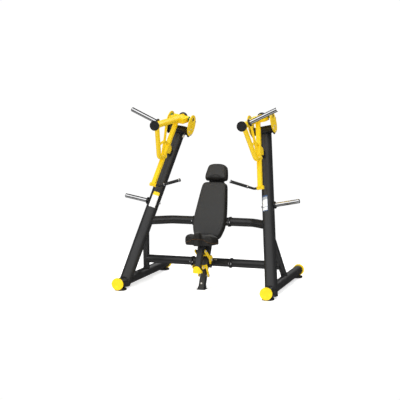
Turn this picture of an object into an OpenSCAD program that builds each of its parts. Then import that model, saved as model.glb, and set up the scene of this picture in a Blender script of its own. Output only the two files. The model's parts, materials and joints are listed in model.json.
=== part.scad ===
// Plate-loaded converging chest press.
// Origin on the floor under the middle of the machine, +X to the user's left hand, -Y to the front,
// +Z up. Each side frame, with its swing arm, is drawn flat in its own side frame and then leant in:
// x runs outwards along the arm's pivot, y front to back, z up in the plane of the side frame.

/* [Side frames] */
// Distance from the middle of the machine to each base tube's axis
base_x = 867; // [800:1:940]
// Height of the base tube axes above the floor
base_z = 81; // [78:1:90]
// Length of a base tube with its end caps
base_len = 1608; // [1560:1:1700]
// Outer diameter of the base tubes
base_d = 114; // [108:1:118]
// Lean of each side frame towards the middle, in degrees
lean_in = 10.9; // [9:0.1:12]
// Backward lean of the columns and drop arms, in degrees
rake = 28.9; // [28:0.1:29.5]
// Outer diameter of the columns
col_d = 140; // [136:1:144]
// Outer diameter of the rear braces
brace_d = 76; // [70:1:80]
// Outer diameter of the crossbars
crossbar_d = 98; // [94:1:102]
// Wall thickness of the frame tubes
frame_wall = 4; // [3:0.5:6]

/* [Swing arms] */
// Distance from the base tube axis to the arm pivot, up the side frame
pivot_z = 1903; // [1895:1:1910]
// Place of the arm pivot, front to back
pivot_y = 339; // [335:1:345]
// Diameter of the pivot shaft
shaft_d = 30; // [26:1:32]
// Outer diameter of the lever tube
lever_d = 76; // [74:1:78]
// Length of the lever in front of the pivot, with its cap
lever_front = 876; // [840:1:900]
// Downward slope of the lever towards the front, in degrees
lever_slope = 5.5; // [5:0.1:6]
// Outer diameter of the loop tube
loop_d = 54; // [50:1:56]
// Diameter of the rubber hand grip
grip_d = 36; // [32:1:38]
// Length of the rubber hand grip
grip_len = 190; // [170:1:195]

/* [Plate horns] */
// Diameter of the horns that hold the weight plates
horn_d = 50; // [48:0.5:50]
// Reach of a weight horn from the lever's axis
horn_reach = 392; // [360:1:400]
// Reach of a storage horn from the column's axis
store_reach = 370; // [340:1:380]
// Height of the storage horns, up the side frame
store_z = 885; // [860:1:900]

/* [Seat and back] */
// Backward lean of the post, the back pad and the seat carriage, in degrees
post_lean = 27.35; // [27:0.05:27.7]
// Width of the post
post_w = 70; // [66:1:72]
// Depth of the post, square to its length
post_depth = 80; // [76:1:82]
// Length of the seat links between their pins
link_len = 245; // [240:1:250]
// Upward slope of the seat links at the highest seat, in degrees
link_slope = 31.2; // [30:0.1:32]
// Half width of the seat pad
seat_half = 193; // [185:1:196]

/* [Hidden] */
$fn = 64;

gap = 0.1;          // air between pieces that are welded or pressed together
run = 0.05;         // radial clearance of a turning fit
lap = 1;            // a straight tube runs this far into a bend
bend_slack = 0.3;   // a bend is drawn this much thinner than its straights
left = -1;
right = 1;
charcoal = "#33333a";
black = "#1b1b1d";
yellow = "#f2c40f";
chrome = "#c9ccd0";
green = "#2fa84f";
vinyl = "#3d3d3c";

base_r = base_d / 2;
cap_r = 69;         // flared rim of a base end cap
cap_len = 36;
plug_len = 30;      // part of a cap inside its tube
tube_half = base_len / 2 - cap_len;
foot_r = 68;
foot_h = 20;
foot_gap = 69;      // from a tube's end to its foot's axis
col_r = col_d / 2;
col_foot_y = -557;  // where a column's axis crosses its base tube's axis
col_top = 1789;
col_cut = 57;       // a column ends this far below the base tube's axis
col_lid = 6;
brace_r = brace_d / 2;
brace_foot_y = 102; // where a brace's axis would cross the base tube's axis
brace_rake = 26.2;
bar_r = crossbar_d / 2;

shaft_r = shaft_d / 2;
arm_x = -12;        // the arm's plane, measured outwards from the column's plane
hub_half = 95;      // half width of the arm's hub box
flange_t = 6;
flange_r = 26;
bush_r = 20;
bush_len = 30;
cheek_half = 134;   // from the arm's plane to a cheek plate's inner face
cheek_t = 10;
cheek_r = 128;
cheek_z = pivot_z - 75;
cheek_y = pivot_y + 12;
head_r = 48;
head_wall = 6;
head_y = 331;
head_z = 1752;
head_flange_t = 8;
head_flange_r = 68;
cheek_bolt_spots = [[104, 46], [-8, -46], [-68, -76], [14, -114]];

lever_r = lever_d / 2;
lever_rear = 40;    // lever tube behind the pivot
lever_cap_r = 57;
lever_cap_len = 24;
lever_tube_front = lever_front - lever_cap_len;
box_front = 192;
box_low = -42;
box_high = 18;
boss_r = 30;
loop_r = loop_d / 2;
loop_top = [-451, 1822];
loop_corner = [-199, 1440];
loop_bend_r = 75;
rod_r = 15;
star = [-110, 1628];
star_tips = [[-149, 1850], [-104, 1462], [-296, 1588], [28, 1586]];
sleeve_y = -227;
sleeve_z = 1113;
sleeve_r = 21.5;
drop_w = 50;
drop_depth = 58;
drop_shift = -4;    // drop arm's axis in front of the handle sleeve's
bar_d = 28;
bend_x = -58;       // where the handle bar leaves the sleeve's axis, from the arm's plane
bend_r = 50;
bend_up = 27.9;
handle_roll = 15.2;
ring_at = 62;       // along the bent part of the handle bar
ring_len = 10;
grip_cap_len = 14;
horn_r = horn_d / 2;
horn_wall = 5;
seat_step = 1;      // a horn is turned down this much where its collar sits
horn_y = -341;
horn_tilt = 14.5;
horn_from = 40;     // a horn's collar starts this far from the lever's axis
collar_len = 16;
collar_r = 42;
bracket_r = 44;

post_foot_y = -372.6;
post_len = 1438;
post_wall = 4;
post_sink = 30;     // the post's box starts this far below its foot point and is cut flat on the plate
foot_plate_t = 8;
socket_top = 32;
lower_bar = [10, 256];      // y and z of the lower crossbar
upper_bar = [12, 741];
lower_flange_x = 237;
upper_flange_x = 219;
plate_t = 8;
flange_w = 152;     // crossbar flange, front to back
flange_h = 112;
bolt_arm = 63;      // from a crossbar's axis to a flange bolt's
board_face = -60;   // the back board's front face, square to the post's axis
board_t = 14;
board_bolt_rows = [740, 1181];
pad_clear = 0.5;
pad_front = -142;   // the back pad's front face, square to the post's axis
pad_apart = 14;     // air between the back pad and the seat pad
carriage_w = 64;
carriage_depth = 78;
shoe_r = 50;
shoe_front = 50;    // from the lower eye to the shoe's front face
shoe_rear = 44;
carriage_shift = 4; // carriage tube's axis behind its link pins
link_x = 54;        // inner face of a link plate
link_t = 8;
pin_r = 8;
pivot_low = 166.4;    // distance up the post's axis to the lower link pins
pivot_rise = 192.5; // from the lower link pins to the upper ones, up the post
link_v = [-link_len * cos(link_slope), link_len * sin(link_slope)];
post_dir = [sin(post_lean), cos(post_lean)];
low_pin = [post_foot_y, 0] + pivot_low * post_dir;
high_pin = low_pin + pivot_rise * post_dir;
low_eye = low_pin + link_v;
high_eye = high_pin + link_v;
disc_r = 54;        // notched rear end of the upper links
lock_r = 44;        // from the upper link pins to the lock pin
lock_pin_r = 5;
bracket_x = 71;     // inner face of the lock pin's bracket, clear of the link pins' heads
barrel_end = 82;
knob_x = 99;
lock_steps = [0, 20, 36];
seat_z = 548;       // top of the seat pan, underside of the pad
seat_front = -585;
seat_rear = -182;
tray_t = 22;
seat_close = 39;    // how far the tray closes on the post as the seat goes down, and its clearance

function on_column(z) = col_foot_y + z * tan(rake);
function on_brace(z) = brace_foot_y - z * tan(brace_rake);
function corner_points(w, d, r, steps = 5) =
    [for (c = [[1, 1, 0], [-1, 1, 90], [-1, -1, 180], [1, -1, 270]])
        for (i = [0 : steps])
            [c[0] * (w / 2 - r) + r * cos(c[2] + 90 * i / steps),
             c[1] * (d / 2 - r) + r * sin(c[2] + 90 * i / steps)]];

// ---- shared shapes ----

module rod(p, q, r) {
    v = q - p;
    translate(p) rotate([0, acos(v[2] / norm(v)), atan2(v[1], v[0])]) cylinder(h = norm(v), r = r);
}

module pipe(p, q, r, wall) {
    u = (q - p) / norm(q - p);
    difference() {
        rod(p, q, r);
        rod(p - u, q + u, r - wall);
    }
}

// Rounded rectangular bar standing on z = 0
module box_bar(w, d, r, h) {
    linear_extrude(h) polygon(corner_points(w, d, r));
}

module box_tube(w, d, r, wall, h) {
    difference() {
        box_bar(w, d, r, h);
        translate([0, 0, -1]) box_bar(w - 2 * wall, d - 2 * wall, r - wall, h + 2);
    }
}

// Part of a ring in the y-z plane, about c, from angle a0 to a1
module elbow(x, c, bend, a0, a1, r) {
    translate([x, c[0], c[1]]) rotate([90, 0, 90]) rotate([0, 0, a0])
        rotate_extrude(angle = a1 - a0) translate([bend, 0]) circle(r);
}

// Plate in the y-z plane from an outline, x0 to x0 + t
module side_plate(x0, t) {
    translate([x0, 0, 0]) rotate([90, 0, 90]) linear_extrude(t) children();
}

// Hexagon head along +x, on a face at x = 0
module hex_head(r, h) {
    rotate([0, 90, 0]) cylinder(h = h, r = r, $fn = 6);
}

// Puts a shape drawn in the side frame on the left or the right of the machine
module on_side(side) {
    if (side == right) {
        leant() children();
    } else {
        mirror([1, 0, 0]) leant() children();
    }
}

module leant() {
    translate([base_x, 0, base_z]) rotate([0, -lean_in, 0]) children();
}

module both_sides() {
    for (side = [left, right]) on_side(side) children();
}

// Frame of a swing arm: x along the pivot, y backwards along the lever
module at_lever() {
    translate([0, pivot_y, pivot_z]) rotate([lever_slope, 0, 0]) children();
}

// Frame of a column or drop arm: z along it, from a point in the side frame
module at_rake(y, z) {
    translate([0, y, z]) rotate([-rake, 0, 0]) children();
}

// Frame of the post: z up along its axis, -y towards the user
module at_post() {
    translate([0, post_foot_y, 0]) rotate([-post_lean, 0, 0]) children();
}

// ---- side frames ----

module base_tube() {
    pipe([0, -tube_half, 0], [0, tube_half, 0], base_r, frame_wall);
}

module base_cap() {
    rotate([-90, 0, 0]) rotate_extrude() polygon([
        [0, -plug_len], [base_r - frame_wall - gap, -plug_len], [base_r - frame_wall - gap, 0],
        [base_r + 1, 0], [cap_r, 12], [cap_r, cap_len - 5], [cap_r - 5, cap_len], [0, cap_len]]);
}

module base_end_caps() {
    for (sx = [-1, 1]) translate([sx * base_x, 0, base_z]) {
        translate([0, tube_half + gap, 0]) base_cap();
        rotate([0, 0, 180]) translate([0, tube_half + gap, 0]) base_cap();
    }
}

module rubber_foot() {
    difference() {
        union() {
            cylinder(h = foot_h, r = foot_r);
            cylinder(h = base_z - base_r / 2, r = 28);
        }
        translate([0, 0, base_z]) rotate([90, 0, 0])
            cylinder(h = 4 * foot_r, r = base_r + gap, center = true);
    }
}

module rubber_feet() {
    for (sx = [-1, 1], sy = [-1, 1])
        translate([sx * base_x, sy * (tube_half - foot_gap), 0]) rubber_foot();
}

module column() {
    low = -col_cut - col_r;
    high = col_top + col_r;
    foot = [0, on_column(low), low];
    head = [0, on_column(high), high];
    difference() {
        rod(foot, head, col_r);
        difference() {
            rod(foot, head, col_r - frame_wall);
            translate([-col_d, 0, col_top - col_lid]) cube([2 * col_d, 2 * col_d + 300, col_d]);
        }
        translate([-col_d, 0, col_top]) cube([2 * col_d, 1000, 2 * col_d]);
        rotate([0, lean_in, 0]) translate([-col_d, -1000, -col_cut - col_d]) cube([2 * col_d, 1000, col_d]);
        rod([0, -1000, 0], [0, 0, 0], base_r + gap);
    }
}

module rear_brace() {
    difference() {
        pipe([0, on_brace(0), 0], [0, on_brace(640), 640], brace_r, frame_wall);
        rod([0, -1000, 0], [0, 1000, 0], base_r + gap);
        rod([0, on_column(0), 0], [0, on_column(1000), 1000], col_r + gap);
    }
}

module head_flange(x) {
    translate([x, head_y, head_z]) rotate([0, 90, 0]) cylinder(h = head_flange_t, r = head_flange_r);
}

module pivot_head() {
    inner = arm_x - cheek_half + gap;
    outer = arm_x + cheek_half - gap;
    difference() {
        union() {
            rod([inner, head_y, head_z], [outer, head_y, head_z], head_r);
            head_flange(inner);
            head_flange(outer - head_flange_t);
        }
        rod([inner - 1, head_y, head_z], [outer + 1, head_y, head_z], head_r - head_wall);
        rod([0, on_column(1500), 1500], [0, on_column(1900), 1900], col_r + gap);
        cheek_bolt_holes(inner - 1, head_flange_t + 2);
        cheek_bolt_holes(outer - head_flange_t - 1, head_flange_t + 2);
    }
}

module cheek_bolt_holes(x, depth) {
    for (s = cheek_bolt_spots) translate([x, cheek_y + s[0], cheek_z + s[1]])
        rotate([0, 90, 0]) cylinder(h = depth, r = 5.5);
}

module cheek_plate(x) {
    difference() {
        translate([x, cheek_y, cheek_z]) rotate([0, 90, 0]) cylinder(h = cheek_t, r = cheek_r);
        rod([x - 1, pivot_y, pivot_z], [x + cheek_t + 1, pivot_y, pivot_z], bush_r + gap);
        cheek_bolt_holes(x - 1, cheek_t + 2);
        side_plate(x - 1, cheek_t + 2) cheek_slot();
    }
}

module cheek_slot() {
    translate([cheek_y + 4, cheek_z - 6]) rotate([0, 0, 62])
        polygon(corner_points(64, 16, 7));
}

module cheek_plates() {
    cheek_plate(arm_x - cheek_half - cheek_t);
    cheek_plate(arm_x + cheek_half);
}

// One bolt through a cheek plate, its head outside; the lower three also go through the head's flange
module cheek_bolt(s, side) {
    face = arm_x + side * (cheek_half + cheek_t + gap);
    reach = s[1] < 0 ? cheek_t + head_flange_t : cheek_t + 4;
    translate([face, cheek_y + s[0], cheek_z + s[1]]) rotate([0, 0, side > 0 ? 0 : 180]) {
        hex_head(10, 7);
        translate([-reach, 0, 0]) rotate([0, 90, 0]) cylinder(h = reach + 1, r = 5.2);
    }
}

module cheek_bolts() {
    both_sides() for (side = [-1, 1], s = cheek_bolt_spots) cheek_bolt(s, side);
}

module pivot_shaft() {
    end = cheek_half + cheek_t + gap;
    rod([arm_x - end - 7, pivot_y, pivot_z], [arm_x + end + 7, pivot_y, pivot_z], shaft_r);
    for (x = [-end - 7, end]) rod([arm_x + x, pivot_y, pivot_z], [arm_x + x + 7, pivot_y, pivot_z], 23);
}

// Flanged bush: its flange on x = 0 pointing to -x, its barrel to +x
module bush(barrel, bore_r) {
    difference() {
        union() {
            rotate([0, 90, 0]) cylinder(h = barrel, r = bush_r);
            translate([-flange_t, 0, 0]) rotate([0, 90, 0]) cylinder(h = flange_t, r = flange_r);
        }
        translate([-flange_t - 1, 0, 0]) rotate([0, 90, 0]) cylinder(h = barrel + flange_t + 2, r = bore_r);
    }
}

module cheek_bushes() {
    both_sides() {
        translate([arm_x + cheek_half - gap, pivot_y, pivot_z]) bush(cheek_t, shaft_r + run);
        translate([arm_x - cheek_half + gap, pivot_y, pivot_z]) rotate([0, 0, 180])
            bush(cheek_t, shaft_r + run);
    }
}

// ---- crossbars ----

module bar_flange(x, bar) {
    translate([x, bar[0], bar[1]]) rotate([90, 0, 90]) box_bar(flange_w, flange_h, 50, plate_t);
}

module flange_holes(x, bar) {
    for (sy = [-1, 1])
        rod([x, bar[0] + sy * bolt_arm, bar[1]], [x + 4 * plate_t, bar[0] + sy * bolt_arm, bar[1]], 6.5);
}

module lower_crossbar() {
    from = lower_flange_x + gap;
    brace_x = base_x - (lower_bar[1] - base_z) * tan(lean_in);
    difference() {
        union() {
            rod([from, lower_bar[0], lower_bar[1]], [base_x, lower_bar[0], lower_bar[1]], bar_r);
            bar_flange(from, lower_bar);
        }
        rod([from - 1, lower_bar[0], lower_bar[1]], [base_x + 1, lower_bar[0], lower_bar[1]],
            bar_r - frame_wall);
        flange_holes(from - plate_t, lower_bar);
        leant() rod([0, on_brace(0), 0], [0, on_brace(500), 500], brace_r + gap);
        translate([brace_x - 8, -200, lower_bar[1] - 100]) cube([400, 400, 200]);
    }
}

module lower_crossbars() {
    lower_crossbar();
    mirror([1, 0, 0]) lower_crossbar();
}

// The upper crossbar runs out straight, then turns forward to meet the column
module upper_crossbar() {
    from = upper_flange_x + gap;
    z = upper_bar[1];
    rise = (z - base_z) / cos(lean_in);
    corner = [500, upper_bar[0]];
    target = [base_x - rise * sin(lean_in), on_column(rise)];
    turn = atan2(corner[1] - target[1], target[0] - corner[0]);
    bend = 120;
    tangent = bend * tan(turn / 2);
    end = corner + (target - corner) / norm(target - corner) * tangent;
    difference() {
        union() {
            bar_flange(from, upper_bar);
            bent_bar(from, corner, end, target, turn, bend, tangent, z, bar_r);
        }
        bent_bar(from - 1, corner, end, target, turn, bend, tangent, z, bar_r - frame_wall);
        flange_holes(from - plate_t, upper_bar);
        leant() rod([0, on_column(300), 300], [0, on_column(1100), 1100], col_r + gap);
    }
}

module bent_bar(from, corner, end, target, turn, bend, tangent, z, r) {
    along = (target - corner) / norm(target - corner);
    rod([from, corner[1], z], [corner[0] - tangent + lap, corner[1], z], r);
    translate([corner[0] - tangent, corner[1] - bend, z]) rotate([0, 0, 90 - turn])
        rotate_extrude(angle = turn) translate([bend, 0]) circle(r - bend_slack);
    rod([end[0] - lap * along[0], end[1] - lap * along[1], z], [target[0], target[1], z], r);
}

module upper_crossbars() {
    upper_crossbar();
    mirror([1, 0, 0]) upper_crossbar();
}

module flange_bolt(x, y, z) {
    translate([x, y, z]) {
        translate([plate_t + 2 * gap, 0, 0]) hex_head(10, 8);
        translate([-plate_t - gap, 0, 0]) mirror([1, 0, 0]) hex_head(10, 8);
        translate([-plate_t - 1, 0, 0]) rotate([0, 90, 0]) cylinder(h = 2 * plate_t + 2, r = 6);
    }
}

module crossbar_bolts() {
    for (m = [0, 1], sy = [-1, 1]) mirror([m, 0, 0]) {
        flange_bolt(lower_flange_x, lower_bar[0] + sy * bolt_arm, lower_bar[1]);
        flange_bolt(upper_flange_x, upper_bar[0] + sy * bolt_arm, upper_bar[1]);
    }
}

// ---- centre ----

module stub_bar(bar, flange_x, r) {
    rod([-flange_x, bar[0], bar[1]], [flange_x, bar[0], bar[1]], r);
}

module seat_post() {
    difference() {
        union() {
            at_post() translate([0, 0, -post_sink]) box_bar(post_w, post_depth, 14, post_len + post_sink);
            stub_bar(lower_bar, lower_flange_x, bar_r);
            stub_bar(upper_bar, upper_flange_x, bar_r);
            for (s = [0, 1]) mirror([s, 0, 0]) {
                bar_flange(lower_flange_x - plate_t, lower_bar);
                bar_flange(upper_flange_x - plate_t, upper_bar);
            }
            translate([-30, lower_bar[0] - 250, lower_bar[1] - 32]) cube([60, 250, 60]);
        }
        at_post() translate([0, 0, -2 * post_sink])
            box_bar(post_w - 2 * post_wall, post_depth - 2 * post_wall, 10,
                    post_len + 2 * post_sink - post_wall);
        translate([-post_w, post_foot_y - 200, -100 + foot_plate_t + gap]) cube([2 * post_w, 400, 100]);
        stub_bar(lower_bar, lower_flange_x + 1, bar_r - frame_wall);
        stub_bar(upper_bar, upper_flange_x + 1, bar_r - frame_wall);
        for (s = [0, 1]) mirror([s, 0, 0]) {
            flange_holes(lower_flange_x - 2 * plate_t, lower_bar);
            flange_holes(upper_flange_x - 2 * plate_t, upper_bar);
        }
        for (p = [low_pin, high_pin]) rod([-100, p[0], p[1]], [100, p[0], p[1]], pin_r + gap);
    }
    lock_bracket();
}

// Where the lock pin meets the post, behind the upper link pins
lock_spot = high_pin + [lock_r, 0];

module lock_hole() {
    rod([bracket_x - 2, lock_spot[0], lock_spot[1]], [barrel_end + 2, lock_spot[0], lock_spot[1]],
        lock_pin_r + run);
}

// Plate that carries the lock pin's barrel outside the right upper link
module lock_bracket() {
    spacer = high_pin - 84 * post_dir;
    spot = lock_spot;
    difference() {
        union() {
            rod([post_w / 2 - 2, spacer[0], spacer[1]], [bracket_x + 5, spacer[0], spacer[1]], 12);
            hull() {
                rod([bracket_x, spacer[0], spacer[1]], [bracket_x + 5, spacer[0], spacer[1]], 14);
                rod([bracket_x, spot[0], spot[1]], [bracket_x + 5, spot[0], spot[1]], 14);
            }
            rod([bracket_x, spot[0], spot[1]], [barrel_end, spot[0], spot[1]], 9);
        }
        lock_hole();
    }
}

// Plate on the floor with a low socket round the post's foot
module post_foot() {
    translate([-48, post_foot_y - 43, 0]) cube([96, 104, foot_plate_t]);
    difference() {
        intersection() {
            at_post() translate([0, 0, -post_sink]) box_bar(post_w + 12, post_depth + 12, 18, 150);
            translate([-post_w, post_foot_y - 200, foot_plate_t - 1])
                cube([2 * post_w, 500, socket_top - foot_plate_t + 1]);
        }
        at_post() translate([0, 0, -2 * post_sink])
            box_bar(post_w + 2 * gap, post_depth + 2 * gap, 14, 200);
    }
}

// Half outline of the back pad: half width and distance up the post
back_outline = [[118, 578], [146, 586], [160, 606], [177, 664], [194, 745], [198, 806], [192, 900],
                [183, 1000], [168, 1126], [155, 1236], [138, 1280], [104, 1294]];
head_outline = [[100, 1318], [130, 1326], [138, 1350], [130, 1410], [121, 1470],
                [110, 1498], [82, 1516], [42, 1527]];

function both_halves(half) = concat(half, [for (i = [len(half) - 1 : -1 : 0]) [-half[i][0], half[i][1]]]);
function shrunk(half, d, mid) = [for (p = half) [p[0] - d, p[1] + (p[1] > mid ? -d : d)]];

// Slab parallel to the post, from the face at y = front, thickness t
module post_slab(outline, front, t) {
    at_post() translate([0, front + t, 0]) rotate([90, 0, 0]) linear_extrude(t)
        polygon(both_halves(outline));
}

module back_board() {
    difference() {
        union() {
            post_slab(shrunk(back_outline, 20, 936), board_face, board_t);
            for (s = board_bolt_rows) at_post() translate([-110, board_face + board_t - 1, s - 25])
                cube([220, -board_face - board_t - post_depth / 2 + 1 - gap, 50]);
        }
        for (s = board_bolt_rows, sx = [-1, 1]) back_bolt_line(sx * 90, s) cylinder(h = 60, r = 4.2);
        stub_bar(upper_bar, upper_flange_x, bar_r + gap);
    }
}

module back_bolt_line(x, s) {
    at_post() translate([x, -post_depth / 2, s]) rotate([90, 0, 0]) children();
}

module back_pad() {
    post_slab(back_outline, pad_front, board_face - pad_clear - pad_front);
}

module head_bracket() {
    difference() {
        at_post() union() {
            translate([-70, -post_depth / 2 - 6 - gap, 1306]) cube([140, 6, 150]);
            translate([-95, -post_depth / 2 - 6 - gap, 1306]) cube([190, 6, 36]);
        }
        for (sx = [-1, 1]) back_bolt_line(sx * 55, 1426) cylinder(h = 60, r = 4.2);
    }
}

module head_pad() {
    post_slab(head_outline, -142, 142 - post_depth / 2 - 6 - gap - pad_clear);
}

// Bolts of the post foot, back board, head bracket and storage horns
module frame_bolts() {
    at_post() translate([0, -post_depth / 2 - gap, 56]) rotate([90, 0, 0]) cylinder(h = 8, r = 10, $fn = 6);
    for (s = board_bolt_rows, sx = [-1, 1]) back_bolt(sx * 90, s, 14);
    for (sx = [-1, 1]) back_bolt(sx * 55, 1426, 6);
    both_sides() translate([-col_r - 1, on_column(store_z), store_z]) mirror([1, 0, 0]) hex_head(12, 12);
}

// Bolt from behind, its shank reaching forward from the post's front face
module back_bolt(x, s, reach) {
    back_bolt_line(x, s) {
        translate([0, 0, -7 - gap]) cylinder(h = 7, r = 8, $fn = 6);
        translate([0, 0, -1]) cylinder(h = reach + 1, r = 4);
    }
}

// ---- plate horns ----

// Horn with a bevelled end, along +x from x0 to x1, turned down under the collar that starts at seat
module horn(x0, x1, seat) {
    shoulder = seat + collar_len + 0.3;
    rotate([0, 90, 0]) rotate_extrude() polygon([
        [horn_r - horn_wall, x0], [horn_r - seat_step, x0], [horn_r - seat_step, shoulder],
        [horn_r, shoulder], [horn_r, x1 - 5], [horn_r - 5, x1], [0, x1],
        [0, x1 - horn_wall], [horn_r - horn_wall, x1 - horn_wall - 5]]);
}

module collar(x0) {
    translate([x0, 0, 0]) rotate([0, 90, 0]) rotate_extrude() polygon([
        [horn_r - seat_step + gap, 0], [collar_r, 0], [collar_r, collar_len - 4],
        [collar_r - 4, collar_len], [horn_r - seat_step + gap, collar_len]]);
}

module storage_horn() {
    difference() {
        translate([0, on_column(store_z), store_z]) horn(col_r - 8, store_reach, col_r + 4);
        rod([0, on_column(600), 600], [0, on_column(1200), 1200], col_r + gap);
    }
}

module storage_collars() {
    both_sides() translate([0, on_column(store_z), store_z]) collar(col_r + 4);
}

module at_horn() {
    lever_z = pivot_z + (horn_y - pivot_y) * tan(lever_slope);
    translate([arm_x, horn_y, lever_z]) rotate([0, -horn_tilt, 0]) children();
}

module weight_horn() {
    difference() {
        at_horn() horn(lever_r - 6, horn_reach, horn_from);
        lever_body(lever_r + gap);
    }
}

module horn_collar() {
    at_horn() collar(horn_from);
}

// ---- swing arm ----

module lever_body(r) {
    at_lever() rod([arm_x, -lever_tube_front, 0], [arm_x, lever_rear, 0], r);
}

module arm_lever() {
    difference() {
        union() {
            lever_body(lever_r);
            at_lever() {
                translate([arm_x - hub_half, -box_front, box_low])
                    cube([2 * hub_half, box_front, box_high - box_low]);
                rod([arm_x - hub_half, 0, 0], [arm_x + hub_half, 0, 0], boss_r);
            }
        }
        at_lever() {
            rod([arm_x, -lever_tube_front - 1, 0], [arm_x, lever_rear + 1, 0], lever_r - frame_wall);
            for (s = [-1, 1]) translate([arm_x + s * (lever_r + hub_half) / 2, 0, 0])
                translate([-(hub_half - lever_r) / 2 + 5, -box_front + 5, box_low + 5])
                    cube([hub_half - lever_r - 10, box_front - boss_r - 8, box_high - box_low - 10]);
            rod([arm_x - hub_half - 1, 0, 0], [arm_x + hub_half + 1, 0, 0], bush_r + gap);
        }
    }
}

module arm_bushes() {
    at_lever() {
        translate([arm_x - hub_half - gap, 0, 0]) bush(bush_len, shaft_r + run);
        translate([arm_x + hub_half + gap, 0, 0]) rotate([0, 0, 180]) bush(bush_len, shaft_r + run);
    }
}

module lever_cap() {
    inner = lever_r - frame_wall - gap;
    rotate([-90, 0, 0]) rotate_extrude() polygon([
        [0, -22], [inner, -22], [inner, 0], [lever_r + 1, 0], [lever_cap_r, 10],
        [lever_cap_r, lever_cap_len - 4], [lever_cap_r - 4, lever_cap_len], [0, lever_cap_len]]);
}

module lever_caps() {
    at_lever() translate([arm_x, 0, 0]) {
        translate([0, lever_rear + gap, 0]) lever_cap();
        rotate([0, 0, 180]) translate([0, lever_tube_front + gap, 0]) lever_cap();
    }
}

// Centre line of the loop: down from the lever, round the bend, back to the drop arm
module loop_path(r) {
    down = (loop_corner - loop_top) / norm(loop_corner - loop_top);
    turn = acos(down[0]);
    tangent = loop_bend_r * tan(turn / 2);
    t1 = loop_corner - tangent * down;
    t2 = loop_corner + [tangent, 0];
    rod([arm_x, loop_top[0], loop_top[1]], [arm_x, t1[0] + lap * down[0], t1[1] + lap * down[1]], r);
    elbow(arm_x, t2 + [0, loop_bend_r], loop_bend_r, -90 - turn, -90, r - bend_slack);
    rod([arm_x, t2[0] - lap, t2[1]], [arm_x, 0, loop_corner[1]], r);
}

module arm_loop() {
    difference() {
        union() {
            loop_path(loop_r);
            for (tip = star_tips) rod([arm_x, star[0], star[1]], [arm_x, tip[0], tip[1]], rod_r);
        }
        loop_path(loop_r - frame_wall);
        lever_body(lever_r + gap);
        drop_body(gap);
    }
}

// Outside of the drop arm, grown by d
module drop_body(d) {
    translate([arm_x, 0, 0]) at_rake(sleeve_y + drop_shift, sleeve_z)
        box_bar(drop_w + 2 * d, drop_depth + 2 * d, 12, 900);
}

module arm_drop() {
    difference() {
        union() {
            difference() {
                drop_body(0);
                translate([arm_x, 0, 0]) at_rake(sleeve_y + drop_shift, sleeve_z) translate([0, 0, -1])
                    box_bar(drop_w - 2 * frame_wall, drop_depth - 2 * frame_wall, 8, 902);
            }
            rod([arm_x - 36, sleeve_y, sleeve_z], [arm_x + 42, sleeve_y, sleeve_z], sleeve_r);
            stop_bracket();
        }
        rod([arm_x - 40, sleeve_y, sleeve_z], [arm_x + 36, sleeve_y, sleeve_z], bar_d / 2 + gap);
        lever_body(lever_r + gap);
        at_lever() translate([-300, -600, 0]) cube([600, 900, 400]);
        at_lever() translate([arm_x - hub_half - 1, -box_front - gap, box_low - gap])
            cube([2 * hub_half + 2, 400, 200]);
    }
}

// Yellow tab behind the drop arm that carries the stop bumper
module stop_bracket() {
    translate([arm_x, 0, 0]) at_rake(sleeve_y + drop_shift, sleeve_z) difference() {
        union() {
            translate([-15, drop_depth / 2 - 1, 465]) cube([30, 71, 90]);
            translate([-15, drop_depth / 2 + 70, 510]) rotate([0, 90, 0]) cylinder(h = 30, r = bracket_r);
        }
        translate([-16, drop_depth / 2 + 103, 400]) cube([32, 100, 200]);
    }
}

module stop_bumper() {
    difference() {
        translate([arm_x, 0, 0]) at_rake(sleeve_y + drop_shift, sleeve_z)
            translate([-20, drop_depth / 2 + 103 + gap, 476]) cube([40, 60, 68]);
        rod([0, on_column(1300), 1300], [0, on_column(1750), 1750], col_r + 0.3);
    }
}

// Frame of the handle: -x along the bar before its bend, z towards the side it bends to
module at_handle() {
    translate([arm_x, sleeve_y, sleeve_z]) rotate([handle_roll, 0, 0]) children();
}

// Frame of the hand grip: z along the bent part of the bar, from the end of the bend
module at_grip() {
    at_handle() translate([bend_x - bend_r * sin(bend_up), 0, bend_r * (1 - cos(bend_up))])
        rotate([0, bend_up - 90, 0]) children();
}

module handle_bar() {
    at_handle() {
        rod([34, 0, 0], [bend_x - lap, 0, 0], bar_d / 2);
        translate([bend_x, 0, bend_r]) rotate([90, 0, 0]) rotate([0, 0, -90 - bend_up])
            rotate_extrude(angle = bend_up) translate([bend_r, 0]) circle(bar_d / 2 - bend_slack);
    }
    at_grip() translate([0, 0, -lap]) cylinder(h = lap + ring_at + ring_len + grip_len + 6, r = bar_d / 2);
}

module hand_grip() {
    at_grip() translate([0, 0, ring_at + ring_len + gap]) difference() {
        cylinder(h = grip_len - 2 * gap, r = grip_d / 2);
        translate([0, 0, -1]) cylinder(h = grip_len + 2, r = bar_d / 2 + gap);
    }
}

module grip_rings() {
    at_grip() difference() {
        union() {
            translate([0, 0, ring_at]) cylinder(h = ring_len, r = grip_d / 2 + 2);
            translate([0, 0, ring_at + ring_len + grip_len]) cylinder(h = grip_cap_len, r = grip_d / 2 + 2);
        }
        translate([0, 0, -1]) cylinder(h = ring_at + ring_len + grip_len + 7 + gap, r = bar_d / 2 + gap);
    }
}

// ---- seat ----

// Frame of the seat carriage: z up along its tube, from the lower eye
module at_carriage() {
    translate([0, low_eye[0], low_eye[1]]) rotate([-post_lean, 0, 0]) children();
}

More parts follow.
